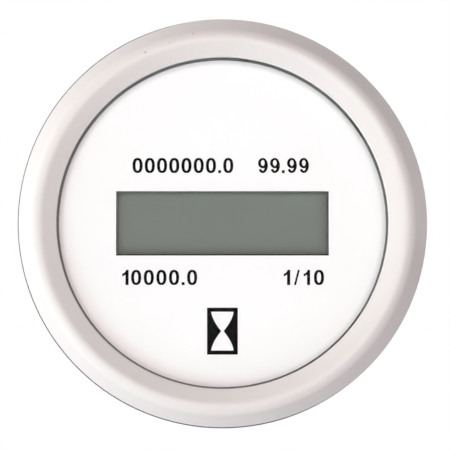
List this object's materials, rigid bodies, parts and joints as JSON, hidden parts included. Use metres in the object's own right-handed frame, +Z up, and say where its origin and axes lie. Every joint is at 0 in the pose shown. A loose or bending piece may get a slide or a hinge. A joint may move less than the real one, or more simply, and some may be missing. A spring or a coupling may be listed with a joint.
{
  "type": "hour meter",
  "caption": "Round panel-mount hour meter with a white bezel clipped over the case rim, a blank LCD window in a printed dial, push-on terminals and a U clamp bracket.",
  "frame": {"origin": "on the gauge axis, in the plane of the panel's front face, where the gasket seats", "axes": "+Y along the barrel, back through the panel; +Z up on the dial; the dial faces -Y"},
  "size_m": [0.06, 0.0492, 0.06],
  "materials": {
    "white_plastic": "glossy moulded",
    "gasket_rubber": "soft matt",
    "lens_clear": "polished clear acrylic",
    "seal_rubber": "matt",
    "dial_white": "fine matt print",
    "black_ink": "screen printed",
    "display_film": "anti-glare film",
    "display_glass": "polished",
    "black_plastic": "moulded",
    "contact_rubber": "matt, banded",
    "board_laminate": "solder mask",
    "chip_plastic": "moulded epoxy",
    "plated_can": "plated",
    "aluminium_can": "bright drawn",
    "ceramic_tan": "fired ceramic",
    "zinc_steel": "zinc plated",
    "case_plastic": "moulded, slightly satin",
    "terminal_brass": "stamped",
    "bracket_steel": "zinc plated strip",
    "nut_brass": "turned and knurled"
  },
  "bodies": {
    "root": {"bezel": "white_plastic", "panel_gasket": "gasket_rubber", "lens": "lens_clear", "lens_seal": "seal_rubber", "dial": "dial_white", "window_outline": "black_ink", "hourglass_mark": "black_ink", "display_front_film": "display_film", "display_front_glass": "display_glass", "display_rear_glass": "display_glass", "display_rear_film": "display_film", "display_holder": "black_plastic", "upper_contact_strip": "contact_rubber", "lower_contact_strip": "contact_rubber", "circuit_board": "board_laminate", "microcontroller": "chip_plastic", "memory_chip": "chip_plastic", "crystal": "plated_can", "voltage_regulator": "chip_plastic", "capacitor": "aluminium_can", "diode": "chip_plastic", "chip_resistors": "chip_plastic", "chip_capacitors": "ceramic_tan", "board_screws": "zinc_steel", "case": "case_plastic", "positive_terminal": "terminal_brass", "negative_terminal": "terminal_brass", "bracket_studs": "zinc_steel", "clamp_bracket": "bracket_steel", "lock_washers": "zinc_steel", "bracket_nuts": "nut_brass"}
  },
  "joints": []
}
